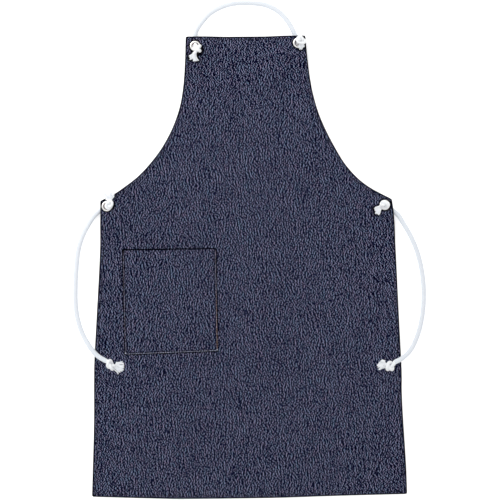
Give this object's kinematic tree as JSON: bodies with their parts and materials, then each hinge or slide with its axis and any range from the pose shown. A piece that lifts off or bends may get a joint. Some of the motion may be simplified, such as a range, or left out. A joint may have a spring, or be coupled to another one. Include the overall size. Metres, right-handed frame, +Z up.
{
  "type": "welding apron",
  "caption": "Denim bib apron for workshop use, lying flat: a one-piece panel with a patch pocket, metal eyelets, a knotted white neck cord and knotted waist ties.",
  "frame": {"origin": "on the table under the middle of the cloth's outline", "axes": "+X to the right of the picture (the wearer's left), +Y up the apron towards the neck, +Z up off the table, out of the apron's front"},
  "size_m": [0.6872, 0.9701, 0.0285],
  "materials": {
    "denim": "navy slub denim with pale vertical flecks, matt",
    "thread": "dark sewing thread",
    "nickel": "nickel-plated brass",
    "white_cord": "soft white braid, matt"
  },
  "bodies": {
    "apron": {"apron_panel": "denim", "patch_pocket": "denim", "bib_left_backing_patch": "denim", "bib_right_backing_patch": "denim", "waist_left_backing_patch": "denim", "waist_right_backing_patch": "denim", "pocket_stitching": "thread", "bib_left_eyelet": "nickel", "bib_left_washer": "nickel", "bib_right_eyelet": "nickel", "bib_right_washer": "nickel", "waist_left_eyelet": "nickel", "waist_left_washer": "nickel", "waist_right_eyelet": "nickel", "waist_right_washer": "nickel", "bib_left_cord_root": "white_cord", "bib_right_cord_root": "white_cord", "waist_left_cord_root": "white_cord", "waist_right_cord_root": "white_cord", "bib_left_stopper_knot": "white_cord", "bib_right_stopper_knot": "white_cord", "waist_left_stopper_knot": "white_cord", "waist_right_stopper_knot": "white_cord", "bib_left_frayed_tail": "white_cord", "bib_right_frayed_tail": "white_cord", "waist_left_frayed_tail": "white_cord", "waist_right_frayed_tail": "white_cord"},
    "neck_loop": {"neck_cord": "white_cord"},
    "left_tie": {"left_tie_cord": "white_cord", "left_tie_end_knot": "white_cord", "left_tie_end_tail": "white_cord"},
    "right_tie": {"right_tie_cord": "white_cord", "right_tie_end_knot": "white_cord", "right_tie_end_tail": "white_cord"}
  },
  "joints": [
    {"name": "neck_loop_lift", "type": "hinge", "parent": "apron", "child": "neck_loop", "pos_m": [-0.0011, 0.456, 0.0047], "axis": [1, 0, 0], "range_deg": [0, 90]},
    {"name": "left_tie_swing", "type": "hinge", "parent": "apron", "child": "left_tie", "pos_m": [-0.2925, 0.108, 0.0047], "axis": [0, 0, 1], "range_deg": [-105, 0]},
    {"name": "right_tie_swing", "type": "hinge", "parent": "apron", "child": "right_tie", "pos_m": [0.2925, 0.102, 0.0047], "axis": [0, 0, 1], "range_deg": [0, 105]}
  ]
}
